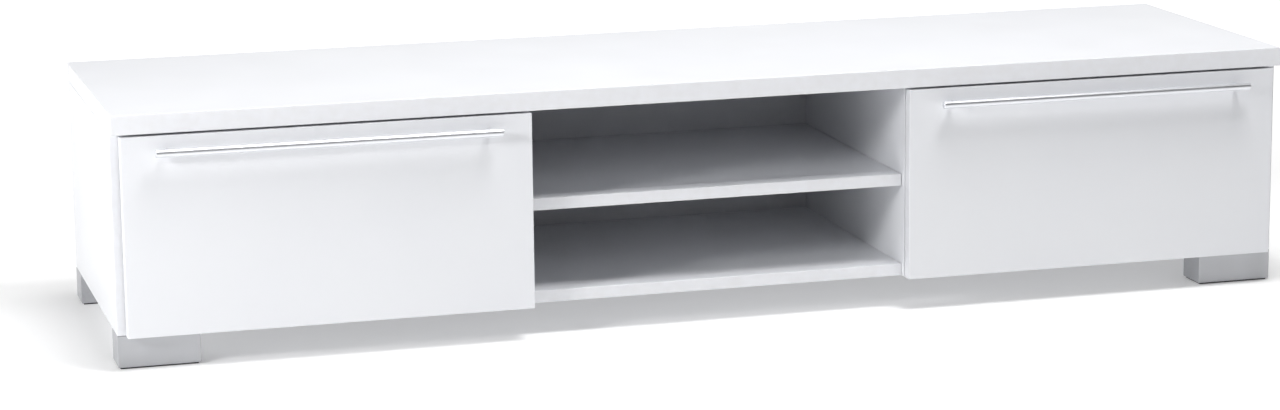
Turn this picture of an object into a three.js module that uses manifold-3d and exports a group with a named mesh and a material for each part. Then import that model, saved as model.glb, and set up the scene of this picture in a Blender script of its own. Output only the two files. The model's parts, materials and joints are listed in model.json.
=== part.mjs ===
// A long, low television bench: one thick top over three compartments. The two outer
// compartments close with drop-down flaps, the middle bay is open with one shelf, and the
// whole stands on four block feet.
//
// Millimetres. +X to the right, +Y to the back, +Z up. The origin is on the floor, in the
// middle of the bench's width and of its depth over the handles.

import * as THREE from 'three';
import { mergeVertices } from 'three/addons/utils/BufferGeometryUtils.js';
import Module from 'manifold-3d';

const wasm = await Module();
wasm.setup();

// ---------------------------------------------------------------- driving dimensions

// whole bench
const WIDTH = 1600;
const DEPTH = 445;              // the top, front edge to rear edge
const HEIGHT = 330;
const FIT = 0.1;                // between boards and fittings that are screwed face to face
const LAP = 0.1;                // how far the parts of one joined piece run into each other

// boards
const TOP_THICKNESS = 25;
const BOARD_THICKNESS = 16;     // sides, partitions, bottoms and shelf
const BAY_WIDTH = 518;          // clear width of the open middle bay
const PANEL_SETBACK = 8;        // bottoms and shelf stand back from the uprights' front edges
const SHELF_HEIGHT = 107.5;     // underside of the shelf above the bottom board
const SHELF_END_GAP = 0.75;     // at each end, so that the shelf lifts out

// back boards, held in grooves
const BACK_THICKNESS = 3;
const BACK_INSET = 13;          // from the rear edges to the back boards
const GROOVE_DEPTH = 5;
const GROOVE_PLAY = 0.25;       // on each face of a back board
const GROOVE_END_PLAY = 0.5;    // between a back board's edge and the groove's floor

// flaps
const DOOR_THICKNESS = 16;
const DOOR_BACK_GAP = 4;        // between a closed flap and the uprights
const DOOR_TOP_GAP = 3;
const DOOR_REVEAL = 11;         // strip of side panel left in sight beside a flap

// bar handles
const BAR_RADIUS = 5;
const BAR_STANDOFF = 15;        // the bar's axis in front of the flap
const BAR_END_MARGIN = 42;      // from the bar's end to the flap's edge
const BAR_DROP = 20;            // from the flap's top edge to the bar's axis
const BAR_END_CHAMFER = 0.6;
const POST_RADIUS = 3.5;
const POST_END_MARGIN = 15;     // from the bar's end to a post's axis
const POST_SEAT_DEPTH = 2.5;    // how far a post goes into the bar
const SCREW_RADIUS = 2;
const SCREW_HEAD_RADIUS = 4.5;
const SCREW_HEAD_HEIGHT = 2.4;
const SCREW_RIM_HEIGHT = 1.4;   // the upright part of the head
const SCREW_CROWN_RADIUS = 2.5; // the flat on top of the head
const RECESS_WIDTH = 1;         // cross recess in a screw's head
const RECESS_SPAN = 4.2;
const RECESS_DEPTH = 1.2;
const SCREW_REACH = 6;          // how far a screw goes into its post
const BORE_PLAY = 0.3;          // around screws, posts and pegs in their bores

// cup hinges for the flaps
const HINGE_EDGE_MARGIN = 90;   // from a flap's edge to the hinge's middle
const PIVOT_DEPTH = 9;          // pin behind the flap's inner face
const CUP_RADIUS = 17.5;
const CUP_DEPTH = 12.5;
const CUP_ABOVE_PIN = 13.5;     // the cup's axis above the pin
const CUP_PLAY = 0.2;
const FLANGE_THICKNESS = 1.2;
const FLANGE_WIDTH = 54;
const FLANGE_HEIGHT = 20;
const FLANGE_CORNER = 6;
const ARM_WIDTH = 8;
const ARM_SIDE_PLAY = 0.5;
const ARM_THICKNESS = 3;
const ARM_RISE = 2.5;           // underside of the arm above the bottom board
const KNUCKLE_RADIUS = 2.3;
const KNUCKLE_PLAY = 0.45;      // from the knuckle to the walls of the cup's slot
const PIN_RADIUS = 1.25;
const PIN_LENGTH = 18;
const PIN_PLAY = 0.08;
const BASE_LENGTH = 34;
const BASE_WIDTH = 30;
const BASE_SETBACK = 3;         // from the bottom board's front edge to the base
const BASE_CORNER = 4;
const ARM_END_MARGIN = 3;       // from the base's ends to the arm's

// slotted flap stays: the stud and the arm's rivet are equally far from the hinge pin, so
// the arm turns by exactly half the flap's angle and its slot stays on the stud
const STAY_OUT = 9;             // rivet behind the flap's inner face
const STAY_UP = 118;            // rivet above the hinge pin
const STAY_SPREAD = 30;         // degrees between rivet and stud, seen from the pin, closed
const FLAP_TRAVEL = 90;         // degrees
const STAY_ARM_THICKNESS = 2;
const STAY_ARM_HALF_WIDTH = 7;
const STAY_STUD_RADIUS = 3;
const STAY_SLOT_PLAY = 0.3;
const STAY_SLOT_SPARE = 2;      // slot left over at the closed end
const STAY_PLATE_THICKNESS = 2;
const STAY_PLATE_LENGTH = 44;
const STAY_PLATE_HEIGHT = 22;
const STAY_PLATE_CORNER = 5;
const STAY_SIDE_GAP = 1.5;      // from the stud plate to the arm
const STAY_HEAD_RADIUS = 6;
const STAY_HEAD_THICKNESS = 1.5;
const STAY_FACE_GAP = 0.3;      // between faces that slide past each other
const STAY_RIVET_RADIUS = 2.2;
const STAY_RIVET_HEAD_RADIUS = 3.6;
const STAY_RIVET_HEAD = 1;
const BRACKET_THICKNESS = 2;
const BRACKET_FOOT_WIDTH = 22;
const BRACKET_HEIGHT = 40;
const BRACKET_CORNER = 4;

// magnetic catches
const CATCH_WIDTH = 28;
const CATCH_HEIGHT = 15;
const CATCH_LENGTH = 26;
const CATCH_CORNER = 3;
const CATCH_FACE_GAP = 0.3;
const LUG_SPREAD = 46;          // over both screw lugs
const LUG_THICKNESS = 3;
const LUG_LENGTH = 14;
const LUG_SETBACK = 6;          // behind the catch's face
const STRIKE_THICKNESS = 1.6;
const STRIKE_WIDTH = 38;
const STRIKE_HEIGHT = 13;
const STRIKE_CORNER = 2;
const STRIKE_TOP_MARGIN = 1;    // below the catch's top and the flap's top edge

// shelf pegs
const PEG_RADIUS = 2.5;
const PEG_DEPTH = 9;            // into the partition
const PEG_REACH = 9;            // under the shelf
const PEG_COLLAR_RADIUS = 4.2;
const PEG_COLLAR = 1;
const PEG_FRONT_MARGIN = 45;    // from the shelf's front edge
const PEG_REAR_MARGIN = 45;     // from the back board

// feet
const FOOT_HEIGHT = 44;         // floor to the carcass, pad included
const FOOT_WIDTH = 106;
const FOOT_DEPTH = 50;
const FOOT_CHAMFER = 0.8;
const PAD_THICKNESS = 2;
const PAD_INSET = 3;

// roundness
const FINE_SIDES = 32;
const SMALL_SIDES = 20;
const ARC_STEPS = 8;            // straight steps in a drawn arc

// ---------------------------------------------------------------- derived places

const barProjection = BAR_STANDOFF + BAR_RADIUS;
const frontY = -(DEPTH + barProjection) / 2 + barProjection;   // front of the top and flaps
const rearY = frontY + DEPTH;
const doorBackY = frontY + DOOR_THICKNESS;
const uprightFrontY = doorBackY + DOOR_BACK_GAP;
const panelFrontY = uprightFrontY + PANEL_SETBACK;
const backBoardY = [rearY - BACK_INSET - BACK_THICKNESS, rearY - BACK_INSET];
const grooveY = [backBoardY[0] - GROOVE_PLAY, backBoardY[1] + GROOVE_PLAY];

const carcassZ = FOOT_HEIGHT;
const floorZ = carcassZ + BOARD_THICKNESS;                     // top of the bottom boards
const ceilingZ = HEIGHT - TOP_THICKNESS;                       // underside of the top
const shelfZ = floorZ + SHELF_HEIGHT;

const sideOuterX = WIDTH / 2;
const sideInnerX = sideOuterX - BOARD_THICKNESS;
const bayX = BAY_WIDTH / 2;
const partitionX = bayX + BOARD_THICKNESS;                     // the face towards a flap's space
const doorX = [bayX, sideOuterX - DOOR_REVEAL];
const doorZ = [carcassZ, ceilingZ - DOOR_TOP_GAP];
const barZ = doorZ[1] - BAR_DROP;
const barX = [doorX[0] + BAR_END_MARGIN, doorX[1] - BAR_END_MARGIN];
const postX = [barX[0] + POST_END_MARGIN, barX[1] - POST_END_MARGIN];

const pinY = doorBackY - PIVOT_DEPTH;
const pinZ = floorZ - PIVOT_DEPTH;                             // an open flap lies level with the floor
const cupZ = pinZ + CUP_ABOVE_PIN;
const hingeX = [doorX[0] + HINGE_EDGE_MARGIN, doorX[1] - HINGE_EDGE_MARGIN];

// ---------------------------------------------------------------- materials

function finish(color, roughness, metalness) {
  return new THREE.MeshStandardMaterial({ color, roughness, metalness });
}

const whiteBoard = finish(0xf4f4f5, 0.28, 0);
const whiteHardboard = finish(0xededee, 0.5, 0);
const barMetal = finish(0xc9cacd, 0.3, 1);
const footSilver = finish(0xb4b5b9, 0.4, 0.4);
const zincSteel = finish(0xb9bbbd, 0.35, 1);
const darkPlastic = finish(0x2b2c2e, 0.6, 0);
const feltPad = finish(0x3a3a3c, 0.95, 0);

// ---------------------------------------------------------------- shapes

const middle = ([low, high]) => (low + high) / 2;
const length = ([low, high]) => high - low;
const ordered = (a, b) => [Math.min(a, b), Math.max(a, b)];

/** A block that fills the given ranges. */
function block(x, y, z) {
  const geometry = new THREE.BoxGeometry(length(x), length(y), length(z));
  return geometry.translate(middle(x), middle(y), middle(z));
}

/** A lathe-turned piece along X: profile points are [distance along X, radius]. */
function turnedX(profile, y, z, sides) {
  const points = profile.map(([along, radius]) => new THREE.Vector2(radius, along));
  const geometry = new THREE.LatheGeometry(points, sides);
  return geometry.rotateZ(-Math.PI / 2).translate(0, y, z);
}

/** A plain round rod along X. */
function rodX(x, y, z, radius, sides = SMALL_SIDES) {
  return turnedX([[x[0], 0], [x[0], radius], [x[1], radius], [x[1], 0]], y, z, sides);
}

/** A lathe-turned piece along Y: profile points are [distance along Y, radius]. */
function turnedY(profile, x, z, sides) {
  const points = profile.map(([along, radius]) => new THREE.Vector2(radius, along));
  return new THREE.LatheGeometry(points, sides).translate(x, 0, z);
}

/** A plain round rod along Y. */
function rodY(y, x, z, radius, sides = SMALL_SIDES) {
  return turnedY([[y[0], 0], [y[0], radius], [y[1], radius], [y[1], 0]], x, z, sides);
}

const alongX = [new THREE.Vector3(0, 1, 0), new THREE.Vector3(0, 0, 1), new THREE.Vector3(1, 0, 0)];
const alongY = [new THREE.Vector3(0, 0, 1), new THREE.Vector3(1, 0, 0), new THREE.Vector3(0, 1, 0)];
const alongZ = [new THREE.Vector3(1, 0, 0), new THREE.Vector3(0, 1, 0), new THREE.Vector3(0, 0, 1)];

/** An outline drawn on the first two of the axes, pushed along the third. */
function pushed(outline, axes, range) {
  const geometry = new THREE.ExtrudeGeometry(outline, {
    depth: length(range),
    bevelEnabled: false,
    curveSegments: ARC_STEPS,
  });
  geometry.translate(0, 0, range[0]);
  return geometry.applyMatrix4(new THREE.Matrix4().makeBasis(...axes));
}

/** A flat plate with rounded corners, drawn and pushed in the same way. */
function plate(axes, across, up, range, corner) {
  const [left, right] = [across[0] + corner, across[1] - corner];
  const [low, high] = [up[0] + corner, up[1] - corner];
  const outline = new THREE.Shape();
  outline.absarc(right, low, corner, -Math.PI / 2, 0, false);
  outline.absarc(right, high, corner, 0, Math.PI / 2, false);
  outline.absarc(left, high, corner, Math.PI / 2, Math.PI, false);
  outline.absarc(left, low, corner, Math.PI, Math.PI * 1.5, false);
  return pushed(outline, axes, range);
}

// ---------------------------------------------------------------- joins and cuts

function toSolid(geometry) {
  const bare = geometry.clone();
  bare.deleteAttribute('normal');
  bare.deleteAttribute('uv');
  const merged = mergeVertices(bare);
  return new wasm.Manifold(new wasm.Mesh({
    numProp: 3,
    vertProperties: Float32Array.from(merged.attributes.position.array),
    triVerts: Uint32Array.from(merged.index.array),
  }));
}

function toGeometry(solid) {
  const mesh = solid.getMesh();
  const geometry = new THREE.BufferGeometry();
  geometry.setAttribute('position', new THREE.BufferAttribute(mesh.vertProperties, 3));
  geometry.setIndex(new THREE.BufferAttribute(mesh.triVerts, 1));
  geometry.computeVertexNormals();
  return geometry;
}

function cut(geometry, tools) {
  return toGeometry(tools.reduce((solid, tool) => solid.subtract(toSolid(tool)), toSolid(geometry)));
}

function join(geometries) {
  return toGeometry(geometries.map(toSolid).reduce((whole, next) => whole.add(next)));
}

// ---------------------------------------------------------------- scene graph

/** Adds one named piece to a group, with the piece's own centre as its origin. */
function addPiece(group, name, geometry, material) {
  geometry.computeBoundingBox();
  const centre = geometry.boundingBox.getCenter(new THREE.Vector3());
  geometry.translate(-centre.x, -centre.y, -centre.z);
  const mesh = new THREE.Mesh(geometry, material.clone());
  mesh.name = name;
  mesh.position.copy(centre);
  group.add(mesh);
}

// ---------------------------------------------------------------- carcass

/** The groove that a back board needs in the boards around it. */
function grooveAround(x) {
  return block(
    [x[0] - GROOVE_DEPTH, x[1] + GROOVE_DEPTH],
    grooveY,
    [floorZ - GROOVE_DEPTH, ceilingZ + GROOVE_DEPTH],
  );
}

/** The three compartments, as the X ranges between their uprights. */
const compartments = {
  left: [-sideInnerX, -partitionX],
  middle: [-bayX, bayX],
  right: [partitionX, sideInnerX],
};

function pegPlaces() {
  const y = [panelFrontY + PEG_FRONT_MARGIN, backBoardY[0] - PEG_REAR_MARGIN];
  return { front: y[0], rear: y[1] };
}

const pegZ = shelfZ - PEG_RADIUS - FIT;

function carcass() {
  const group = new THREE.Group();
  const grooves = Object.values(compartments).map(grooveAround);

  addPiece(group, 'top_panel', cut(
    block([-sideOuterX, sideOuterX], [frontY, rearY], [ceilingZ, HEIGHT]),
    grooves,
  ), whiteBoard);

  const uprightZ = [carcassZ, ceilingZ - FIT];
  for (const [name, side] of [['left', -1], ['right', 1]]) {
    addPiece(group, `${name}_side_panel`, cut(
      block(ordered(side * sideInnerX, side * sideOuterX), [uprightFrontY, rearY], uprightZ),
      grooves,
    ), whiteBoard);

    const boreX = ordered(side * (bayX - FIT), side * (bayX + PEG_DEPTH + BORE_PLAY));
    const pegBores = Object.values(pegPlaces()).map((y) => rodX(boreX, y, pegZ, PEG_RADIUS + BORE_PLAY / 2));
    addPiece(group, `${name}_partition`, cut(
      block(ordered(side * bayX, side * partitionX), [uprightFrontY, rearY], uprightZ),
      [...grooves, ...pegBores],
    ), whiteBoard);
  }

  for (const [name, x] of Object.entries(compartments)) {
    addPiece(group, `${name}_bottom_panel`, cut(
      block([x[0] + FIT, x[1] - FIT], [panelFrontY, rearY], [carcassZ, floorZ]),
      grooves,
    ), whiteBoard);

    const tongue = GROOVE_DEPTH - GROOVE_END_PLAY;
    addPiece(group, `${name}_back_panel`, block(
      [x[0] - tongue, x[1] + tongue],
      backBoardY,
      [floorZ - GROOVE_DEPTH + FIT, ceilingZ + tongue],
    ), whiteHardboard);
  }

  addPiece(group, 'middle_shelf', block(
    [-bayX + SHELF_END_GAP, bayX - SHELF_END_GAP],
    [panelFrontY, backBoardY[0] - GROOVE_END_PLAY],
    [shelfZ, shelfZ + BOARD_THICKNESS],
  ), whiteBoard);
  return group;
}

function shelfPegs() {
  const group = new THREE.Group();
  for (const [sideName, side] of [['left', -1], ['right', 1]]) {
    for (const [place, y] of Object.entries(pegPlaces())) {
      const profile = [
        [bayX - PEG_REACH, 0],
        [bayX - PEG_REACH, PEG_RADIUS],
        [bayX - FIT - PEG_COLLAR, PEG_RADIUS],
        [bayX - FIT - PEG_COLLAR, PEG_COLLAR_RADIUS],
        [bayX - FIT, PEG_COLLAR_RADIUS],
        [bayX - FIT, PEG_RADIUS],
        [bayX + PEG_DEPTH, PEG_RADIUS],
        [bayX + PEG_DEPTH, 0],
      ];
      const peg = turnedX(profile, y, pegZ, SMALL_SIDES);
      // the collar is level with the peg on top, where the shelf passes over it
      const past = PEG_COLLAR_RADIUS + FIT;
      const shelfRoom = block(
        [bayX - PEG_REACH, bayX],
        [y - past, y + past],
        [pegZ + PEG_RADIUS, pegZ + past],
      );
      const finished = cut(peg, [shelfRoom]);
      if (side < 0) finished.rotateZ(Math.PI).translate(0, 2 * y, 0);
      addPiece(group, `shelf_peg_${sideName}_${place}`, finished, zincSteel);
    }
  }
  return group;
}

// ---------------------------------------------------------------- feet

function footBlock(x, y) {
  const outline = new THREE.Shape();
  const inset = FOOT_CHAMFER;
  outline.moveTo(x[0] + inset, y[0] + inset);
  outline.lineTo(x[1] - inset, y[0] + inset);
  outline.lineTo(x[1] - inset, y[1] - inset);
  outline.lineTo(x[0] + inset, y[1] - inset);
  const z = [PAD_THICKNESS + FIT, FOOT_HEIGHT - FIT];
  const geometry = new THREE.ExtrudeGeometry(outline, {
    depth: length(z) - 2 * inset,
    bevelEnabled: true,
    bevelThickness: inset,
    bevelSize: inset,
    bevelSegments: 1,
  });
  return geometry.translate(0, 0, z[0] + inset);
}

function feet() {
  const group = new THREE.Group();
  const rows = {
    front: [uprightFrontY, uprightFrontY + FOOT_DEPTH],
    rear: [rearY - FOOT_DEPTH, rearY],
  };
  for (const [sideName, side] of [['left', -1], ['right', 1]]) {
    const x = ordered(side * sideOuterX, side * (sideOuterX - FOOT_WIDTH));
    for (const [row, y] of Object.entries(rows)) {
      addPiece(group, `foot_${row}_${sideName}`, footBlock(x, y), footSilver);
      addPiece(group, `foot_pad_${row}_${sideName}`, block(
        [x[0] + PAD_INSET, x[1] - PAD_INSET],
        [y[0] + PAD_INSET, y[1] - PAD_INSET],
        [0, PAD_THICKNESS],
      ), feltPad);
    }
  }
  return group;
}

// ---------------------------------------------------------------- flaps and handles

/** A machine screw through the flap into a handle post, its head on the flap's inner face. */
function handleScrew(x) {
  const under = doorBackY + FIT;
  const crown = under + SCREW_HEAD_HEIGHT;
  const turned = turnedY([
    [frontY - SCREW_REACH, 0],
    [frontY - SCREW_REACH, SCREW_RADIUS],
    [under, SCREW_RADIUS],
    [under, SCREW_HEAD_RADIUS],
    [under + SCREW_RIM_HEIGHT, SCREW_HEAD_RADIUS],
    [crown, SCREW_CROWN_RADIUS],
    [crown, 0],
  ], x, barZ, SMALL_SIDES);
  const recessY = [crown - RECESS_DEPTH, crown + FIT];
  const span = (at, size) => [at - size / 2, at + size / 2];
  return cut(turned, [
    block(span(x, RECESS_SPAN), recessY, span(barZ, RECESS_WIDTH)),
    block(span(x, RECESS_WIDTH), recessY, span(barZ, RECESS_SPAN)),
  ]);
}

function flap(name, side) {
  const group = new THREE.Group();
  const x = ordered(side * doorX[0], side * doorX[1]);
  const postPlaces = postX.map((value) => side * value);

  const screwBores = postPlaces.map((place) => rodY(
    [frontY - FIT, doorBackY + FIT], place, barZ, SCREW_RADIUS + BORE_PLAY,
  ));
  const cupBoreY = [doorBackY - CUP_DEPTH - CUP_PLAY, doorBackY + FIT];
  const cupBores = hingeX.map((value) => rodY(
    cupBoreY, side * value, cupZ, CUP_RADIUS + CUP_PLAY, FINE_SIDES,
  ));
  addPiece(group, `${name}_flap_door`, cut(
    block(x, [frontY, doorBackY], doorZ),
    [...screwBores, ...cupBores],
  ), whiteBoard);

  const barY = frontY - BAR_STANDOFF;
  const ends = ordered(side * barX[0], side * barX[1]);
  const bar = turnedX([
    [ends[0], 0],
    [ends[0], BAR_RADIUS - BAR_END_CHAMFER],
    [ends[0] + BAR_END_CHAMFER, BAR_RADIUS],
    [ends[1] - BAR_END_CHAMFER, BAR_RADIUS],
    [ends[1], BAR_RADIUS - BAR_END_CHAMFER],
    [ends[1], 0],
  ], barY, barZ, FINE_SIDES);
  const seatY = barY + BAR_RADIUS - POST_SEAT_DEPTH;
  const seats = postPlaces.map((place) => rodY(
    [seatY, barY + BAR_RADIUS + FIT], place, barZ, POST_RADIUS + BORE_PLAY,
  ));
  addPiece(group, `${name}_handle_bar`, cut(bar, seats), barMetal);

  postPlaces.sort((a, b) => a - b).forEach((place, index) => {
    const end = index === 0 ? 'left' : 'right';
    const post = rodY([seatY + BORE_PLAY, frontY - FIT], place, barZ, POST_RADIUS);
    const thread = rodY(
      [frontY - SCREW_REACH - BORE_PLAY, frontY + FIT], place, barZ, SCREW_RADIUS + BORE_PLAY / 2,
    );
    addPiece(group, `${name}_handle_post_${end}`, cut(post, [thread]), barMetal);
    addPiece(group, `${name}_handle_screw_${end}`, handleScrew(place), zincSteel);
  });
  return group;
}

// ---------------------------------------------------------------- hinges

/** The cup in the flap: a slot down its middle lets the arm swing about the pin. */
function hingeCup(x) {
  const cup = rodY([doorBackY - CUP_DEPTH, doorBackY + FLANGE_THICKNESS], x, cupZ, CUP_RADIUS, FINE_SIDES);
  const flange = plate(
    alongY,
    [cupZ - FLANGE_HEIGHT / 2, cupZ + FLANGE_HEIGHT / 2],
    [x - FLANGE_WIDTH / 2, x + FLANGE_WIDTH / 2],
    [doorBackY + FIT, doorBackY + FLANGE_THICKNESS],
    FLANGE_CORNER,
  );
  const slotHalf = ARM_WIDTH / 2 + ARM_SIDE_PLAY;
  const slotFloor = pinY - KNUCKLE_RADIUS - KNUCKLE_PLAY;
  const slot = block(
    [x - slotHalf, x + slotHalf],
    [slotFloor, doorBackY + FLANGE_THICKNESS + FIT],
    [pinZ - KNUCKLE_RADIUS - KNUCKLE_PLAY, cupZ + CUP_RADIUS - KNUCKLE_RADIUS],
  );
  const boreHalf = PIN_LENGTH / 2 + PIN_PLAY;
  const bore = rodX([x - boreHalf, x + boreHalf], pinY, pinZ, PIN_RADIUS + PIN_PLAY);
  return cut(join([cup, flange]), [slot, bore]);
}

/** The fixed arm: up from the pin, back over the bottom board's edge, and down to its base. */
function hingeArm(x) {
  const armZ = floorZ + ARM_RISE;
  const baseFront = panelFrontY + BASE_SETBACK;
  const baseRear = baseFront + BASE_LENGTH;
  const outline = new THREE.Shape();
  outline.absarc(pinY, pinZ, KNUCKLE_RADIUS, 0, Math.PI, true);
  outline.lineTo(pinY - KNUCKLE_RADIUS, armZ + ARM_THICKNESS);
  outline.lineTo(baseRear - ARM_END_MARGIN, armZ + ARM_THICKNESS);
  outline.lineTo(baseRear - ARM_END_MARGIN, floorZ + FIT);
  outline.lineTo(baseFront + ARM_END_MARGIN, floorZ + FIT);
  outline.lineTo(baseFront + ARM_END_MARGIN, armZ);
  outline.lineTo(pinY + KNUCKLE_RADIUS, armZ);
  const arm = pushed(outline, alongX, [x - ARM_WIDTH / 2, x + ARM_WIDTH / 2]);
  const base = plate(
    alongZ,
    [x - BASE_WIDTH / 2, x + BASE_WIDTH / 2],
    [baseFront, baseRear],
    [floorZ + FIT, armZ],
    BASE_CORNER,
  );
  const boreHalf = ARM_WIDTH / 2 + FIT;
  const bore = rodX([x - boreHalf, x + boreHalf], pinY, pinZ, PIN_RADIUS + PIN_PLAY);
  return cut(join([arm, base]), [bore]);
}

function hinges(name, side) {
  const group = new THREE.Group();
  const places = hingeX.map((value) => side * value).sort((a, b) => a - b);
  places.forEach((x, index) => {
    const label = `${name}_hinge_${index === 0 ? 'left' : 'right'}`;
    addPiece(group, `${label}_cup`, hingeCup(x), zincSteel);
    addPiece(group, `${label}_arm`, hingeArm(x), zincSteel);
    addPiece(group, `${label}_pin`, rodX(
      [x - PIN_LENGTH / 2, x + PIN_LENGTH / 2], pinY, pinZ, PIN_RADIUS,
    ), zincSteel);
  });
  return group;
}

// ---------------------------------------------------------------- flap stays

const stayReach = Math.hypot(STAY_OUT + PIVOT_DEPTH, STAY_UP);     // pin to rivet, and pin to stud
const rivetLean = Math.atan2(STAY_OUT + PIVOT_DEPTH, STAY_UP);
const studLean = rivetLean + THREE.MathUtils.degToRad(STAY_SPREAD);
const rivetY = pinY + STAY_OUT + PIVOT_DEPTH;
const rivetZ = pinZ + STAY_UP;
const studY = pinY + stayReach * Math.sin(studLean);
const studZ = pinZ + stayReach * Math.cos(studLean);
const stayAngle = Math.atan2(studZ - rivetZ, studY - rivetY);
const studNear = 2 * stayReach * Math.sin(THREE.MathUtils.degToRad(STAY_SPREAD) / 2);
const studFar = 2 * stayReach * Math.sin(THREE.MathUtils.degToRad(STAY_SPREAD + FLAP_TRAVEL) / 2);

/** A long outline with round ends, from one centre to another along the first axis. */
function roundEnded(path, start, end, radius) {
  path.absarc(end, 0, radius, -Math.PI / 2, Math.PI / 2, false);
  path.absarc(start, 0, radius, Math.PI / 2, Math.PI * 1.5, false);
  return path;
}

function stays(name, side) {
  const group = new THREE.Group();
  const wall = sideInnerX;
  const inward = (distance) => side * (wall - distance);
  const layer = (from, to) => ordered(inward(from), inward(to));

  const plateEnd = FIT + STAY_PLATE_THICKNESS;
  const armStart = plateEnd + STAY_SIDE_GAP;
  const armEnd = armStart + STAY_ARM_THICKNESS;
  const bracketStart = armEnd + STAY_FACE_GAP;
  const bracketEnd = bracketStart + BRACKET_THICKNESS;

  // a plate on the side panel with the stud and its head
  const headStart = armEnd + STAY_FACE_GAP;
  const headEnd = headStart + STAY_HEAD_THICKNESS;
  addPiece(group, `${name}_stay_stud_plate`, join([
    plate(
      alongX,
      [studY - STAY_PLATE_LENGTH / 2, studY + STAY_PLATE_LENGTH / 2],
      [studZ - STAY_PLATE_HEIGHT / 2, studZ + STAY_PLATE_HEIGHT / 2],
      layer(FIT, plateEnd),
      STAY_PLATE_CORNER,
    ),
    rodX(layer(plateEnd - LAP, headStart + LAP), studY, studZ, STAY_STUD_RADIUS),
    rodX(layer(headStart, headEnd), studY, studZ, STAY_HEAD_RADIUS),
  ]), zincSteel);

  // the slotted arm, riveted to the flap's bracket
  const slotRadius = STAY_STUD_RADIUS + STAY_SLOT_PLAY;
  const outline = roundEnded(new THREE.Shape(), 0, studFar + slotRadius, STAY_ARM_HALF_WIDTH);
  outline.holes.push(
    roundEnded(new THREE.Path(), studNear - STAY_SLOT_SPARE, studFar, slotRadius),
    new THREE.Path().absarc(0, 0, STAY_RIVET_RADIUS + PIN_PLAY, 0, 2 * Math.PI, false),
  );
  const arm = pushed(outline, alongX, layer(armStart, armEnd));
  arm.rotateX(stayAngle).translate(0, rivetY, rivetZ);
  addPiece(group, `${name}_stay_arm`, arm, zincSteel);

  // the bracket on the flap's inner face, with an ear for the rivet
  const footX = layer(bracketStart, bracketStart + BRACKET_FOOT_WIDTH);
  const bracketZ = [rivetZ - BRACKET_HEIGHT / 2, rivetZ + BRACKET_HEIGHT / 2];
  const ear = new THREE.Shape();
  ear.moveTo(doorBackY + FIT, bracketZ[0]);
  ear.lineTo(rivetY, rivetZ - STAY_ARM_HALF_WIDTH);
  ear.absarc(rivetY, rivetZ, STAY_ARM_HALF_WIDTH, -Math.PI / 2, Math.PI / 2, false);
  ear.lineTo(doorBackY + FIT, bracketZ[1]);
  const footY = [doorBackY + FIT, doorBackY + FIT + BRACKET_THICKNESS];
  const earBore = rodX(
    layer(bracketStart - FIT, bracketEnd + FIT), rivetY, rivetZ, STAY_RIVET_RADIUS + PIN_PLAY,
  );
  addPiece(group, `${name}_stay_bracket`, cut(join([
    plate(alongY, bracketZ, footX, footY, BRACKET_CORNER),
    pushed(ear, alongX, layer(bracketStart, bracketEnd)),
  ]), [earBore]), zincSteel);

  // the rivet through arm and ear, headed at both ends
  const headOuter = armStart - STAY_FACE_GAP;
  const headInner = bracketEnd + STAY_FACE_GAP;
  const reach = [headOuter - STAY_RIVET_HEAD, headOuter, headInner, headInner + STAY_RIVET_HEAD];
  const stations = side < 0 ? reach.map(inward) : reach.map(inward).reverse();
  addPiece(group, `${name}_stay_rivet`, turnedX([
    [stations[0], 0],
    [stations[0], STAY_RIVET_HEAD_RADIUS],
    [stations[1], STAY_RIVET_HEAD_RADIUS],
    [stations[1], STAY_RIVET_RADIUS],
    [stations[2], STAY_RIVET_RADIUS],
    [stations[2], STAY_RIVET_HEAD_RADIUS],
    [stations[3], STAY_RIVET_HEAD_RADIUS],
    [stations[3], 0],
  ], rivetY, rivetZ, SMALL_SIDES), zincSteel);
  return group;
}

// ---------------------------------------------------------------- catches

function catches(name, side) {
  const group = new THREE.Group();
  const x = side * middle(doorX);
  const strikeFace = doorBackY + FIT + STRIKE_THICKNESS;
  const catchFace = strikeFace + CATCH_FACE_GAP;
  const catchZ = [ceilingZ - FIT - CATCH_HEIGHT, ceilingZ - FIT];
  const lugY = [catchFace + LUG_SETBACK, catchFace + LUG_SETBACK + LUG_LENGTH];
  addPiece(group, `${name}_magnetic_catch`, join([
    block([x - CATCH_WIDTH / 2, x + CATCH_WIDTH / 2], [catchFace, catchFace + CATCH_LENGTH], catchZ),
    plate(
      alongZ,
      [x - LUG_SPREAD / 2, x + LUG_SPREAD / 2],
      lugY,
      [catchZ[1] - LUG_THICKNESS, catchZ[1]],
      CATCH_CORNER,
    ),
  ]), darkPlastic);

  const strikeTop = Math.min(catchZ[1], doorZ[1]) - STRIKE_TOP_MARGIN;
  addPiece(group, `${name}_strike_plate`, plate(
    alongY,
    [strikeTop - STRIKE_HEIGHT, strikeTop],
    [x - STRIKE_WIDTH / 2, x + STRIKE_WIDTH / 2],
    [doorBackY + FIT, strikeFace],
    STRIKE_CORNER,
  ), zincSteel);
  return group;
}

// ---------------------------------------------------------------- the bench

const bench = new THREE.Group();
bench.add(carcass(), shelfPegs(), feet());
for (const [name, side] of [['left', -1], ['right', 1]]) {
  bench.add(flap(name, side), hinges(name, side), stays(name, side), catches(name, side));
}

export default bench;
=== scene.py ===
"""Looks of a long, low television bench with drop-down flaps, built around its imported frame.

Metres, +X to the right, +Y to the back, +Z up, the floor at z = 0.
"""

import json
import math

import bmesh
import bpy
from mathutils import Matrix, Vector


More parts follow.
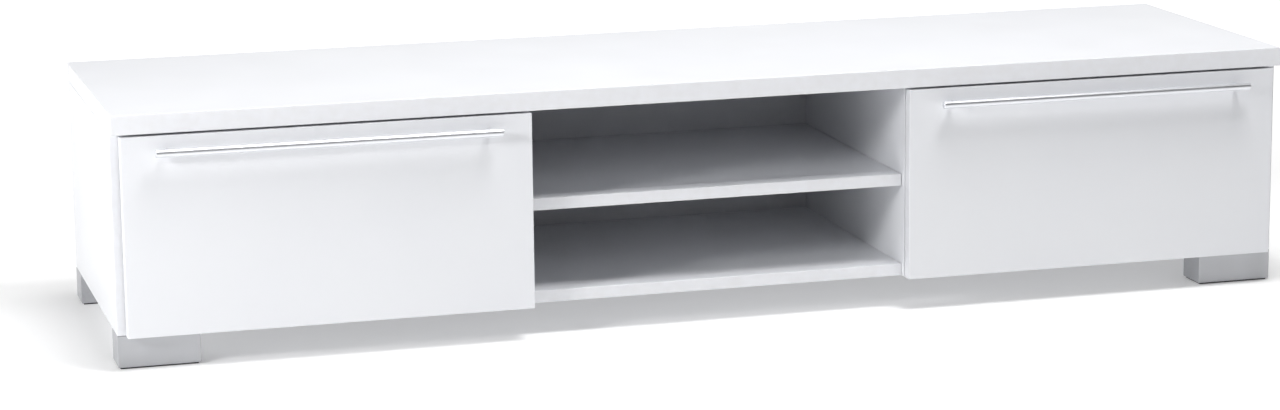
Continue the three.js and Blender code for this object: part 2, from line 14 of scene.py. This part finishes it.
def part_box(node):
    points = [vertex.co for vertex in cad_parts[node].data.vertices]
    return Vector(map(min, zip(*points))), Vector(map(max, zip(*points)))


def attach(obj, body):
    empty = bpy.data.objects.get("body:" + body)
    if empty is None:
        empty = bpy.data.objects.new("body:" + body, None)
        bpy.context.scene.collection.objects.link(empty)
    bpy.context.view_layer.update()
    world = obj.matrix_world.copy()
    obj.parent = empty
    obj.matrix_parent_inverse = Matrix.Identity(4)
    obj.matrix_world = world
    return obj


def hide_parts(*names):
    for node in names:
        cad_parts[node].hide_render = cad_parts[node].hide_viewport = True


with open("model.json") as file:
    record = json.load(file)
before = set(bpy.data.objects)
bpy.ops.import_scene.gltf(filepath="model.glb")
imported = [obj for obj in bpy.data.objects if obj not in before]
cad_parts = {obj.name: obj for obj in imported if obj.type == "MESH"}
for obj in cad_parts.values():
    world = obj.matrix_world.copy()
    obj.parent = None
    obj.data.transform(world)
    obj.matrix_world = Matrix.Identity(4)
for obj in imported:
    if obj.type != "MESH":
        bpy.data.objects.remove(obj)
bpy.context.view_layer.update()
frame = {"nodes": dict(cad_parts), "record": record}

MM = 0.001
WELD = 0.002 * MM               # corners closer than this are one
SIDES = ("left", "right")
ROWS = ("front", "rear")
PLACES = ("left", "middle", "right")

# ---------------------------------------------------------------- the bench, read from the frame

NODES = frame["nodes"]
BODY_OF = {node: body for body, nodes in frame["record"]["behaviour"]["bodies"].items() for node in nodes}


def middle(node):
    low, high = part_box(node)
    return (low + high) / 2


def inward(side):
    """From a side panel towards the middle of the bench."""
    return Vector((1 if side == "left" else -1, 0, 0))


# ---------------------------------------------------------------- node helpers

class Tree:
    """A node tree with short ways to add nodes and link them."""

    def __init__(self, tree):
        self.tree = tree

    def add(self, kind, **settings):
        node = self.tree.nodes.new(kind)
        for key, value in settings.items():
            setattr(node, key, value)
        return node

    def link(self, source, target):
        self.tree.links.new(source, target)

    def feed(self, value, socket):
        """Link a socket, or set a plain value."""
        if isinstance(value, bpy.types.NodeSocket):
            self.link(value, socket)
        else:
            socket.default_value = value

    def reckon(self, operation, first, second=0.0):
        node = self.add("ShaderNodeMath", operation=operation)
        self.feed(first, node.inputs[0])
        self.feed(second, node.inputs[1])
        return node.outputs[0]

    def vector(self, x=0.0, y=0.0, z=0.0):
        node = self.add("ShaderNodeCombineXYZ")
        for value, socket in zip((x, y, z), node.inputs):
            self.feed(value, socket)
        return node.outputs[0]


class Finish(Tree):
    """A material with a Principled shader, whose patterns read Object coordinates in metres."""

    def __init__(self, name, colour, roughness, metallic=0.0, specular=0.5):
        self.material = bpy.data.materials.new(name)
        self.material.use_nodes = True
        super().__init__(self.material.node_tree)
        self.material.diffuse_color = (*colour, 1)
        self.shader = self.tree.nodes["Principled BSDF"]
        self.shader.inputs["Base Color"].default_value = (*colour, 1)
        self.shader.inputs["Roughness"].default_value = roughness
        self.shader.inputs["Metallic"].default_value = metallic
        self.shader.inputs["Specular IOR Level"].default_value = specular
        self.place = self.add("ShaderNodeTexCoord").outputs["Object"]
        self.bumps = None

    def stretched(self, scale):
        mapping = self.add("ShaderNodeMapping")
        mapping.inputs["Scale"].default_value = scale
        self.link(self.place, mapping.inputs["Vector"])
        return mapping.outputs["Vector"]

    def noise(self, size, detail=2.0, stretch=None):
        """Noise whose blotches are about size metres across."""
        node = self.add("ShaderNodeTexNoise")
        node.inputs["Scale"].default_value = 1 / size
        node.inputs["Detail"].default_value = detail
        self.link(self.stretched(stretch) if stretch else self.place, node.inputs["Vector"])
        return node.outputs["Fac"]

    def between(self, value, low, high, spread=(0.35, 0.65)):
        node = self.add("ShaderNodeMapRange")
        node.inputs["From Min"].default_value, node.inputs["From Max"].default_value = spread
        node.inputs["To Min"].default_value = low
        node.inputs["To Max"].default_value = high
        self.link(value, node.inputs["Value"])
        return node.outputs["Result"]

    def shades(self, value, low, high, spread=(0.3, 0.7)):
        """Colour that runs from low to high with value."""
        mix = self.add("ShaderNodeMix", data_type="RGBA")
        mix.inputs[6].default_value = (*low, 1)
        mix.inputs[7].default_value = (*high, 1)
        self.link(self.between(value, 0, 1, spread), mix.inputs[0])
        self.link(mix.outputs[2], self.shader.inputs["Base Color"])

    def vary_roughness(self, value, low, high, spread=(0.3, 0.7)):
        self.link(self.between(value, low, high, spread), self.shader.inputs["Roughness"])

    def bump(self, height, depth, strength=1.0):
        node = self.add("ShaderNodeBump")
        node.inputs["Strength"].default_value = strength
        node.inputs["Distance"].default_value = depth
        self.link(height, node.inputs["Height"])
        if self.bumps:
            self.link(self.bumps, node.inputs["Normal"])
        self.bumps = node.outputs["Normal"]
        self.link(self.bumps, self.shader.inputs["Normal"])


def tone(level, tint=(1.0, 1.0, 1.0)):
    return tuple(level * t for t in tint)


COOL = (0.95, 0.962, 1.0)

# ---------------------------------------------------------------- finishes


def white_lacquer():
    """Smooth white faces: a faint orange peel, a breath of colour change, satin gloss."""
    finish = Finish("white_lacquer", tone(0.82, COOL), 0.34)
    cloud = finish.noise(0.22, detail=3)
    finish.shades(cloud, tone(0.815, COOL), tone(0.828, (0.958, 0.97, 1.0)))
    finish.vary_roughness(finish.noise(0.09, detail=4), 0.3, 0.38)
    finish.bump(finish.noise(0.0016, detail=1), 0.000012, 0.3)
    finish.bump(finish.noise(0.02, detail=1), 0.00003, 0.2)
    return finish.material


def white_edge():
    """The rounded edges and bands of the boards: painted a touch lighter than the faces as a painted
    highlight along the edges, with a fine mottle and a little duller gloss from handling.
    """
    # base 0.83 against the faces' 0.82: the lighter edge colour is painted highlight; the mottle and the
    # rougher gloss are handling wear
    finish = Finish("white_edge", tone(0.83, COOL), 0.36)
    cloud = finish.noise(0.012, detail=4)
    finish.shades(cloud, tone(0.81, (0.965, 0.972, 1.0)), tone(0.85, COOL))
    finish.vary_roughness(finish.noise(0.006, detail=3), 0.32, 0.46)
    finish.bump(finish.noise(0.0009, detail=2), 0.00002, 0.4)
    return finish.material


def white_hardboard():
    """White-faced hardboard: flatter and a little rough, with the weave of the press showing through."""
    finish = Finish("white_hardboard", tone(0.76, COOL), 0.5)
    finish.shades(finish.noise(0.05, detail=5), tone(0.74, COOL), tone(0.78, COOL))
    finish.vary_roughness(finish.noise(0.02, detail=3), 0.46, 0.6)
    finish.bump(finish.noise(0.0011, detail=3), 0.00005, 0.5)
    return finish.material


def satin_bar():
    """Silver bars: fine brushing along their length."""
    finish = Finish("satin_bar", tone(0.8, COOL), 0.4, metallic=0.9)
    brushed = finish.noise(0.0004, detail=3, stretch=(0.02, 1, 1))
    finish.shades(brushed, tone(0.76, COOL), tone(0.84, COOL))
    finish.vary_roughness(brushed, 0.36, 0.46)
    finish.bump(brushed, 0.00001, 0.35)
    return finish.material


def foot_silver():
    """Silver-lacquered feet: fine metal flake under a satin coat."""
    finish = Finish("foot_silver", tone(0.52, COOL), 0.42, metallic=0.6)
    flake = finish.noise(0.0007, detail=2)
    finish.shades(flake, tone(0.48, COOL), tone(0.56, COOL))
    finish.vary_roughness(finish.noise(0.03, detail=4), 0.36, 0.48)
    finish.bump(flake, 0.00001, 0.3)
    return finish.material


def zinc_plate():
    """Zinc-plated steel fittings: bright, slightly mottled."""
    finish = Finish("zinc_plate", tone(0.62, (0.98, 0.99, 1.0)), 0.34, metallic=1.0)
    mottle = finish.noise(0.004, detail=4)
    finish.shades(mottle, tone(0.54, (0.97, 0.985, 1.0)), tone(0.68, (1.0, 0.99, 0.96)))
    finish.vary_roughness(finish.noise(0.002, detail=3), 0.29, 0.42)
    finish.bump(finish.noise(0.0006, detail=2), 0.00001, 0.4)
    return finish.material


def dark_plastic():
    """Moulded dark plastic of the catches, with a fine spark texture."""
    finish = Finish("dark_plastic", tone(0.03), 0.5)
    spark = finish.noise(0.0004, detail=2)
    finish.shades(finish.noise(0.01, detail=2), tone(0.026), tone(0.036))
    finish.vary_roughness(spark, 0.42, 0.6)
    finish.bump(spark, 0.00003, 0.6)
    return finish.material


def felt():
    """Dark felt under the feet."""
    finish = Finish("felt", tone(0.045), 0.95, specular=0.1)
    fibres = finish.noise(0.0008, detail=5, stretch=(1, 1, 2.5))
    finish.shades(fibres, tone(0.03), tone(0.07))
    finish.vary_roughness(fibres, 0.9, 1.0)
    finish.bump(fibres, 0.0002, 0.8)
    return finish.material


LACQUER, EDGE, HARDBOARD = white_lacquer(), white_edge(), white_hardboard()
BAR, FOOT, ZINC, PLASTIC, FELT = satin_bar(), foot_silver(), zinc_plate(), dark_plastic(), felt()

# ---------------------------------------------------------------- pieces made from the frame's solids

BOARD_ROUNDING = 0.9 * MM
SHEET_ROUNDING = 0.3 * MM
PLATED_ROUNDING = 0.25 * MM
TURNED_ROUNDING = 0.2 * MM
STRIKE_ROUNDING = 0.3 * MM
CATCH_ROUNDING = 0.8 * MM
FOOT_ROUNDING = 0.5 * MM
FOOT_SHARP_ANGLE = 20           # their chamfers are rounded too
FLAT_ANGLE = 0.5                # faces that turn by less are one face
SHARP_ANGLE = 32                # corners that turn by more are rounded
CREASE_ANGLE = 50               # more than any step within a rounding


def new_piece(name, mesh, materials):
    piece = bpy.data.objects.new(name, mesh)
    bpy.context.scene.collection.objects.link(piece)
    mesh.materials.clear()
    for material in materials:
        mesh.materials.append(material)
    return piece


def settle(piece):
    """Make the piece's modifiers part of its mesh."""
    evaluated = piece.evaluated_get(bpy.context.evaluated_depsgraph_get())
    mesh = bpy.data.meshes.new_from_object(evaluated)
    mesh.name = piece.name
    piece.modifiers.clear()
    piece.data = mesh


def clean_copy(node, radius, sharp, whole_faces):
    """The node's mesh as one surface, with its outer corners weighted for rounding.

    whole_faces joins the triangles of each flat face. It suits all but the hinge cups, whose slotted
    floors don't divide well again.
    """
    mesh = bpy.data.meshes.new(node)
    shape = bmesh.new()
    shape.from_mesh(NODES[node].data)
    bmesh.ops.remove_doubles(shape, verts=shape.verts, dist=WELD)
    if whole_faces:
        flat = math.radians(FLAT_ANGLE)
        bmesh.ops.dissolve_limit(shape, angle_limit=flat, verts=shape.verts, edges=shape.edges)
    weight = shape.edges.layers.float.new("bevel_weight_edge")
    for edge in shape.edges:
        if edge.calc_face_angle(0.0) < math.radians(sharp):
            continue
        if edge.is_convex and edge.calc_length() > 2 * radius:
            edge[weight] = 1.0
        else:
            edge.smooth = False
    shape.to_mesh(mesh)
    shape.free()
    return mesh


def crease(mesh, angle):
    """Keep the shading of two faces apart where they turn by more than the angle."""
    shape = bmesh.new()
    shape.from_mesh(mesh)
    for edge in shape.edges:
        if edge.calc_face_angle(0.0) > math.radians(angle):
            edge.smooth = False
    shape.to_mesh(mesh)
    shape.free()


def band_edges(mesh, node):
    """Give the edge finish to a board's narrow sides: all faces but those across its thin way."""
    low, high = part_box(node)
    sizes = list(high - low)
    thin = sizes.index(min(sizes))
    for face in mesh.polygons:
        face.material_index = 0 if abs(face.normal[thin]) > 0.5 else 1


def finished(node, suffix, radius, materials, segments=3, sharp=SHARP_ANGLE, whole_faces=True):
    """A piece that stands for a node, with its hard edges rounded."""
    piece = new_piece(f"{node}_{suffix}", clean_copy(node, radius, sharp, whole_faces), materials)
    for face in piece.data.polygons:
        face.use_smooth = True
    if len(materials) > 1:
        band_edges(piece.data, node)
    rounding = piece.modifiers.new("rounding", "BEVEL")
    rounding.width = radius
    rounding.segments = segments
    rounding.limit_method = "WEIGHT"
    rounding.material = len(materials) - 1
    settle(piece)
    crease(piece.data, CREASE_ANGLE)
    level = piece.modifiers.new("level", "WEIGHTED_NORMAL")
    level.keep_sharp = True
    settle(piece)
    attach(piece, BODY_OF[node])
    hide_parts(node)
    return piece


BOARDS = ["top_panel", "middle_shelf"]
BOARDS += [f"{side}_{part}" for side in SIDES for part in ("side_panel", "partition", "flap_door")]
BOARDS += [f"{place}_bottom_panel" for place in PLACES]


def make_boards():
    for node in BOARDS:
        finished(node, "board", BOARD_ROUNDING, [LACQUER, EDGE])
    for place in PLACES:
        node = f"{place}_back_panel"
        finished(node, "sheet", SHEET_ROUNDING, [HARDBOARD], segments=1)


def make_handles():
    for side in SIDES:
        finished(f"{side}_handle_bar", "rod", PLATED_ROUNDING, [BAR])
        for end in SIDES:
            finished(f"{side}_handle_post_{end}", "turned", TURNED_ROUNDING, [BAR])
            screw = finished(f"{side}_handle_screw_{end}", "turned", TURNED_ROUNDING, [ZINC])


def make_feet():
    for row in ROWS:
        for side in SIDES:
            block = finished(f"foot_{row}_{side}", "block", FOOT_ROUNDING, [FOOT], sharp=FOOT_SHARP_ANGLE)
            finished(f"foot_pad_{row}_{side}", "felt", FOOT_ROUNDING, [FELT])


def steel(node, suffix, radius, whole_faces=True):
    """A zinc-plated piece, rounded in two steps."""
    finished(node, suffix, radius, [ZINC], segments=2, whole_faces=whole_faces)


def make_fittings():
    for side in SIDES:
        for end in SIDES:
            steel(f"{side}_hinge_{end}_cup", "plated", PLATED_ROUNDING, whole_faces=False)
            for part in ("arm", "pin"):
                steel(f"{side}_hinge_{end}_{part}", "plated", PLATED_ROUNDING)
        for part in ("stud_plate", "arm", "bracket", "rivet"):
            steel(f"{side}_stay_{part}", "plated", PLATED_ROUNDING)
        steel(f"{side}_strike_plate", "plated", STRIKE_ROUNDING)
        catch = finished(f"{side}_magnetic_catch", "moulded", CATCH_ROUNDING, [PLASTIC])
        for row in ROWS:
            steel(f"shelf_peg_{side}_{row}", "turned", TURNED_ROUNDING)


# ---------------------------------------------------------------- screws and cover caps

# in millimetres; each head stands on its point, its crown falls away towards its rim
RECESS_SIZES = {"Recess width": 0.8, "Recess span": 3.8, "Recess depth": 0.8}
SCREW_SIZES = {"Radius": 3.2, "Height": 1.3, "Crown": 0.5, **RECESS_SIZES}
CAP_SIZES = {"Radius": 8.5, "Height": 1.3, "Crown": 0.6, **RECESS_SIZES}
HEAD_SIDES = 28
HEAD_RINGS = 4
HEAD_SHARP_ANGLE = 35           # steeper corners of a head stay crisp


def round_head_tree():
    """Round heads in millimetres, one at each point, facing the way and of the size its point says."""
    tree = bpy.data.node_groups.new("round_heads", "GeometryNodeTree")
    t = Tree(tree)
    sockets = tree.interface
    sockets.new_socket("Heads", in_out="OUTPUT", socket_type="NodeSocketGeometry")
    sockets.new_socket("Places", in_out="INPUT", socket_type="NodeSocketGeometry")
    for name, size in SCREW_SIZES.items():
        sockets.new_socket(name, in_out="INPUT", socket_type="NodeSocketFloat").default_value = size
    sockets.new_socket("Cross recess", in_out="INPUT", socket_type="NodeSocketBool").default_value = True
    sockets.new_socket("Seed", in_out="INPUT", socket_type="NodeSocketInt").default_value = 3
    sockets.new_socket("Finish", in_out="INPUT", socket_type="NodeSocketMaterial")
    given = t.add("NodeGroupInput").outputs

    disc = t.add("GeometryNodeMeshCylinder")
    disc.inputs["Vertices"].default_value = HEAD_SIDES
    disc.inputs["Fill Segments"].default_value = HEAD_RINGS
    t.link(given["Radius"], disc.inputs["Radius"])
    t.link(given["Height"], disc.inputs["Depth"])

    place = t.add("ShaderNodeSeparateXYZ")
    t.link(t.add("GeometryNodeInputPosition").outputs[0], place.inputs[0])
    across, along = (t.reckon("POWER", place.outputs[axis], 2.0) for axis in (0, 1))
    squared = t.reckon("ADD", across, along)
    share = t.reckon("DIVIDE", squared, t.reckon("POWER", given["Radius"], 2.0))
    drop = t.reckon("MULTIPLY", t.reckon("MULTIPLY", share, given["Crown"]), -1.0)
    crown = t.add("GeometryNodeSetPosition")
    t.link(disc.outputs["Mesh"], crown.inputs["Geometry"])
    t.link(t.reckon("GREATER_THAN", place.outputs[2], 0.0), crown.inputs["Selection"])
    t.link(t.vector(z=drop), crown.inputs["Offset"])

    # the cross recess: one bar cut out, then the same bar turned
    bar = t.add("GeometryNodeMeshCube")
    deep = t.reckon("MULTIPLY", given["Recess depth"], 2.0)
    t.link(t.vector(given["Recess span"], given["Recess width"], deep), bar.inputs["Size"])
    left_over = crown.outputs[0]
    for turn in (0.0, math.pi / 2):
        lifted = t.add("GeometryNodeTransform")
        lifted.inputs["Rotation"].default_value = (0, 0, turn)
        t.link(bar.outputs["Mesh"], lifted.inputs["Geometry"])
        t.link(t.vector(z=t.reckon("MULTIPLY", given["Height"], 0.5)), lifted.inputs["Translation"])
        cut = t.add("GeometryNodeMeshBoolean", operation="DIFFERENCE", solver="EXACT")
        t.link(left_over, cut.inputs[0])
        t.link(lifted.outputs[0], cut.inputs[1])
        left_over = cut.outputs["Mesh"]
    kind = t.add("GeometryNodeSwitch", input_type="GEOMETRY")
    t.link(given["Cross recess"], kind.inputs["Switch"])
    t.link(crown.outputs[0], kind.inputs["False"])
    t.link(left_over, kind.inputs["True"])

    seated = t.add("GeometryNodeTransform")
    seated.inputs["Scale"].default_value = (MM, MM, MM)
    t.link(kind.outputs[0], seated.inputs["Geometry"])
    t.link(t.vector(z=t.reckon("MULTIPLY", given["Height"], 0.5 * MM)), seated.inputs["Translation"])

    facing = t.add("GeometryNodeInputNamedAttribute", data_type="FLOAT_VECTOR")
    facing.inputs["Name"].default_value = "facing"
    size = t.add("GeometryNodeInputNamedAttribute", data_type="FLOAT")
    size.inputs["Name"].default_value = "size"
    upright = t.add("FunctionNodeAlignRotationToVector", axis="Z")
    t.link(facing.outputs[0], upright.inputs["Vector"])
    heads = t.add("GeometryNodeInstanceOnPoints")
    t.link(given["Places"], heads.inputs["Points"])
    t.link(seated.outputs[0], heads.inputs["Instance"])
    t.link(upright.outputs[0], heads.inputs["Rotation"])
    t.link(size.outputs[0], heads.inputs["Scale"])

    chance = t.add("FunctionNodeRandomValue", data_type="FLOAT")
    chance.inputs[3].default_value = math.pi
    t.link(given["Seed"], chance.inputs["Seed"])
    driven = t.add("GeometryNodeRotateInstances")
    t.link(heads.outputs[0], driven.inputs["Instances"])
    t.link(t.vector(z=chance.outputs[1]), driven.inputs["Rotation"])
    real = t.add("GeometryNodeRealizeInstances")
    t.link(driven.outputs[0], real.inputs[0])
    paint = t.add("GeometryNodeSetMaterial")
    t.link(real.outputs[0], paint.inputs["Geometry"])
    t.link(given["Finish"], paint.inputs["Material"])
    t.link(paint.outputs[0], t.add("NodeGroupOutput").inputs[0])
    return tree


def round_heads(name, body, tree, places, material, sizes, crossed=True):
    """One piece of heads for a body. Each place is a point, the way it faces and its size."""
    mesh = bpy.data.meshes.new(name)
    mesh.from_pydata([place for place, _, _ in places], [], [])
    facing = mesh.attributes.new("facing", "FLOAT_VECTOR", "POINT")
    facing.data.foreach_set("vector", [value for _, way, _ in places for value in way])
    size = mesh.attributes.new("size", "FLOAT", "POINT")
    size.data.foreach_set("value", [value for _, _, value in places])
    piece = new_piece(name, mesh, [material])
    maker = piece.modifiers.new("heads", "NODES")
    maker.node_group = tree
    settings = dict(sizes, Finish=material)
    settings["Cross recess"] = crossed
    for socket in tree.interface.items_tree:
        if socket.name in settings:
            maker[socket.identifier] = settings[socket.name]
    settle(piece)
    piece.data.shade_smooth()
    piece.data.set_sharp_from_angle(angle=math.radians(HEAD_SHARP_ANGLE))
    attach(piece, body)


UP, DOWN, BACK = Vector((0, 0, 1)), Vector((0, 0, -1)), Vector((0, 1, 0))
SMALL = 0.7                     # size of the smaller screws against the others
ARM_THICKNESS = 3 * MM
BASE_HALF_LENGTH = 17 * MM
BASE_SCREW_OUT = 10 * MM        # either side of the hinge's middle
FLANGE_SCREW_OUT = 22 * MM
PLATE_THICKNESS = 2 * MM
PLATE_SCREW_OUT = 16 * MM
BRACKET_SCREW_OUT = 13 * MM
LUG_THICKNESS = 3 * MM
LUG_SCREW_OUT = 18.5 * MM
LUG_SCREW_BACK = 13 * MM
STRIKE_SCREW_OUT = 16.4 * MM
FOOT_SCREW_OUT = 20 * MM


def pair(centre, offset):
    return [centre - offset, centre + offset]


def carcass_screws():
    places = []
    for side in SIDES:
        for end in SIDES:
            low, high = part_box(f"{side}_hinge_{end}_arm")
            x = (low.x + high.x) / 2
            base = Vector((x, high.y - BASE_HALF_LENGTH, high.z - ARM_THICKNESS))
            places += [(p, UP, 1.0) for p in pair(base, Vector((BASE_SCREW_OUT, 0, 0)))]
            places.append((Vector((x, high.y - BASE_HALF_LENGTH, high.z)), UP, SMALL))
        low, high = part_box(f"{side}_stay_stud_plate")
        plate = middle(f"{side}_stay_stud_plate")
        plate.x = low.x if side == "left" else high.x
        plate += inward(side) * PLATE_THICKNESS
        places += [(p, inward(side), SMALL) for p in pair(plate, Vector((0, PLATE_SCREW_OUT, 0)))]
        low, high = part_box(f"{side}_magnetic_catch")
        lug = Vector(((low.x + high.x) / 2, low.y + LUG_SCREW_BACK, high.z - LUG_THICKNESS))
        places += [(p, DOWN, SMALL) for p in pair(lug, Vector((LUG_SCREW_OUT, 0, 0)))]
        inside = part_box(f"{side}_bottom_panel")[1].z
        for row in ROWS:
            foot = middle(f"foot_{row}_{side}")
            foot.z = inside
            places += [(p, UP, 1.0) for p in pair(foot, Vector((FOOT_SCREW_OUT, 0, 0)))]
    return places


def door_screws(side):
    places = []
    for end in SIDES:
        flange = middle(f"{side}_hinge_{end}_cup")
        flange.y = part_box(f"{side}_hinge_{end}_cup")[1].y
        places += [(p, BACK, 1.0) for p in pair(flange, Vector((FLANGE_SCREW_OUT, 0, 0)))]
    bracket = middle(f"{side}_stay_bracket")
    bracket.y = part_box(f"{side}_stay_bracket")[0].y + PLATE_THICKNESS
    places += [(p, BACK, 1.0) for p in pair(bracket, Vector((0, 0, BRACKET_SCREW_OUT)))]
    strike = middle(f"{side}_strike_plate")
    strike.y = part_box(f"{side}_strike_plate")[1].y
    places += [(p, BACK, SMALL) for p in pair(strike, Vector((STRIKE_SCREW_OUT, 0, 0)))]
    return places


CAP_BELOW_TOP = 34 * MM         # cam fittings stand this far from the joint that they pull up
CAP_ALONG = (-0.12, 0.15)       # front and rear, along Y


def cover_caps():
    """White caps over the cam fittings, on faces turned to the closed compartments and the floor."""
    places = []
    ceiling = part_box("top_panel")[0].z - CAP_BELOW_TOP
    for side in SIDES:
        low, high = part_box(f"{side}_side_panel")
        wall = high.x if side == "left" else low.x
        low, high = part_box(f"{side}_partition")
        divider = low.x if side == "left" else high.x
        for y in CAP_ALONG:
            places.append((Vector((wall, y, ceiling)), inward(side), 1.0))
            places.append((Vector((divider, y, ceiling)), -inward(side), 1.0))
    for place in PLACES:
        low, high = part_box(f"{place}_bottom_panel")
        for x in (low.x + CAP_BELOW_TOP, high.x - CAP_BELOW_TOP):
            places += [(Vector((x, y, low.z)), DOWN, 1.0) for y in CAP_ALONG]
    return places


def make_fixings():
    tree = round_head_tree()
    round_heads("carcass_screws", "carcass", tree, carcass_screws(), ZINC, SCREW_SIZES)
    for side in SIDES:
        name = f"{side}_door_screws"
        round_heads(name, f"{side}_door", tree, door_screws(side), ZINC, SCREW_SIZES)
    places = cover_caps()
    round_heads("cam_cover_caps", "carcass", tree, places, EDGE, CAP_SIZES, crossed=False)


make_boards()
make_handles()
make_feet()
make_fittings()
make_fixings()

# ---------------------------------------------------------------- floor, light and camera

FLOOR_REACH = 60.0
FLOOR_GLOW = 0.2                # the pale floor's own light, which softens the shadows on it
FAR_FLOOR_GLOW = 0.9            # behind the bench
LEFT_GLOW = 0.15                # from the whole left side
FAR_LEFT_GLOW = 1.05            # and from straight left
REAR_GLOW = 0.52
FLOOR_FADE = (0.5, 2.2)         # along Y, from the floor's near glow to its far one
LEFT_FADE = (-0.1, -0.9)        # along a unit direction, from no glow to all of it
FAR_LEFT_FADE = (-0.6, -1.0)
REAR_FADE = (0.1, 0.9)


def make_floor():
    mesh = bpy.data.meshes.new("floor")
    r = FLOOR_REACH
    mesh.from_pydata([(-r, -r, 0), (r, -r, 0), (r, r, 0), (-r, r, 0)], [], [(0, 1, 2, 3)])
    finish = Finish("pale_floor", tone(0.86), 0.7)
    finish.shades(finish.noise(0.6), tone(0.852), tone(0.868))
    finish.shader.inputs["Emission Color"].default_value = (1, 1, 1, 1)
    place = finish.add("ShaderNodeSeparateXYZ")
    finish.link(finish.place, place.inputs[0])
    glow = finish.between(place.outputs["Y"], FLOOR_GLOW, FAR_FLOOR_GLOW, FLOOR_FADE)
    finish.link(glow, finish.shader.inputs["Emission Strength"])
    floor = new_piece("floor", mesh, [finish.material])


def make_studio():
    """A dim room with pale walls to the left and behind, and plain white as its backdrop."""
    world = bpy.data.worlds.new("studio")
    bpy.context.scene.world = world
    world.use_nodes = True
    t = Tree(world.node_tree)
    t.tree.nodes.clear()
    direction = t.add("ShaderNodeSeparateXYZ")
    t.link(t.add("ShaderNodeTexCoord").outputs["Generated"], direction.inputs[0])

    def wall(axis, fade, glow):
        ramp = t.add("ShaderNodeMapRange", interpolation_type="SMOOTHSTEP")
        ramp.inputs["From Min"].default_value, ramp.inputs["From Max"].default_value = fade
        ramp.inputs["To Max"].default_value = glow
        t.link(direction.outputs[axis], ramp.inputs["Value"])
        return ramp.outputs["Result"]

    room, backdrop = t.add("ShaderNodeBackground"), t.add("ShaderNodeBackground")
    left = t.reckon("ADD", wall("X", LEFT_FADE, LEFT_GLOW), wall("X", FAR_LEFT_FADE, FAR_LEFT_GLOW))
    t.link(t.reckon("ADD", left, wall("Y", REAR_FADE, REAR_GLOW)), room.inputs["Strength"])
    for shader in (room, backdrop):
        shader.inputs["Color"].default_value = (1, 1, 1, 1)
    choose = t.add("ShaderNodeMixShader")
    t.link(t.add("ShaderNodeLightPath").outputs["Is Camera Ray"], choose.inputs["Fac"])
    t.link(room.outputs[0], choose.inputs[1])
    t.link(backdrop.outputs[0], choose.inputs[2])
    t.link(choose.outputs[0], t.add("ShaderNodeOutputWorld").inputs["Surface"])


LAMPS = {
    "overhead": dict(place=(-0.2, -0.4, 3.2), aim=(-0.2, -0.4, 0), size=1.0, watts=28),
    "overhead_right": dict(place=(0.6, -1.1, 3.2), aim=(0.6, -0.9, 0), size=1.0, watts=67),
    "overhead_rear": dict(place=(0.1, 0.2, 3.2), aim=(0.1, 0.2, 0), size=1.0, watts=20),
    "low_left": dict(place=(-2.0, -1.0, 0.9), aim=(0, 0, 0.15), size=0.36, watts=18),
}


def soft_box(name, place, aim, size, watts):
    lamp = bpy.data.lights.new(name, "AREA")
    lamp.shape = "SQUARE"
    lamp.size = size
    lamp.energy = watts
    holder = bpy.data.objects.new(name, lamp)
    holder.location = place
    holder.rotation_euler = (Vector(aim) - Vector(place)).to_track_quat("-Z", "Y").to_euler()
    bpy.context.scene.collection.objects.link(holder)


CAMERA_PLACE = (-1.3214, -4.4260, 1.0776)
CAMERA_AZIMUTH = -15.97         # degrees, as seen from the bench's middle: to its left
CAMERA_ELEVATION = 11.68
CAMERA_ROLL = -0.62
CAMERA_LENS = 96.34


def make_camera():
    camera = bpy.data.cameras.new("camera")
    camera.sensor_width = 36
    camera.lens = CAMERA_LENS
    holder = bpy.data.objects.new("camera", camera)
    holder.location = CAMERA_PLACE
    turn = Matrix.Rotation(math.radians(CAMERA_AZIMUTH), 4, "Z")
    turn = turn @ Matrix.Rotation(math.radians(90 - CAMERA_ELEVATION), 4, "X")
    turn = turn @ Matrix.Rotation(math.radians(CAMERA_ROLL), 4, "Z")
    holder.rotation_euler = turn.to_euler()
    bpy.context.scene.collection.objects.link(holder)
    bpy.context.scene.camera = holder


make_floor()
make_studio()
for name, lamp in LAMPS.items():
    soft_box(name, **lamp)
make_camera()
bpy.context.scene.view_settings.view_transform = "Standard"
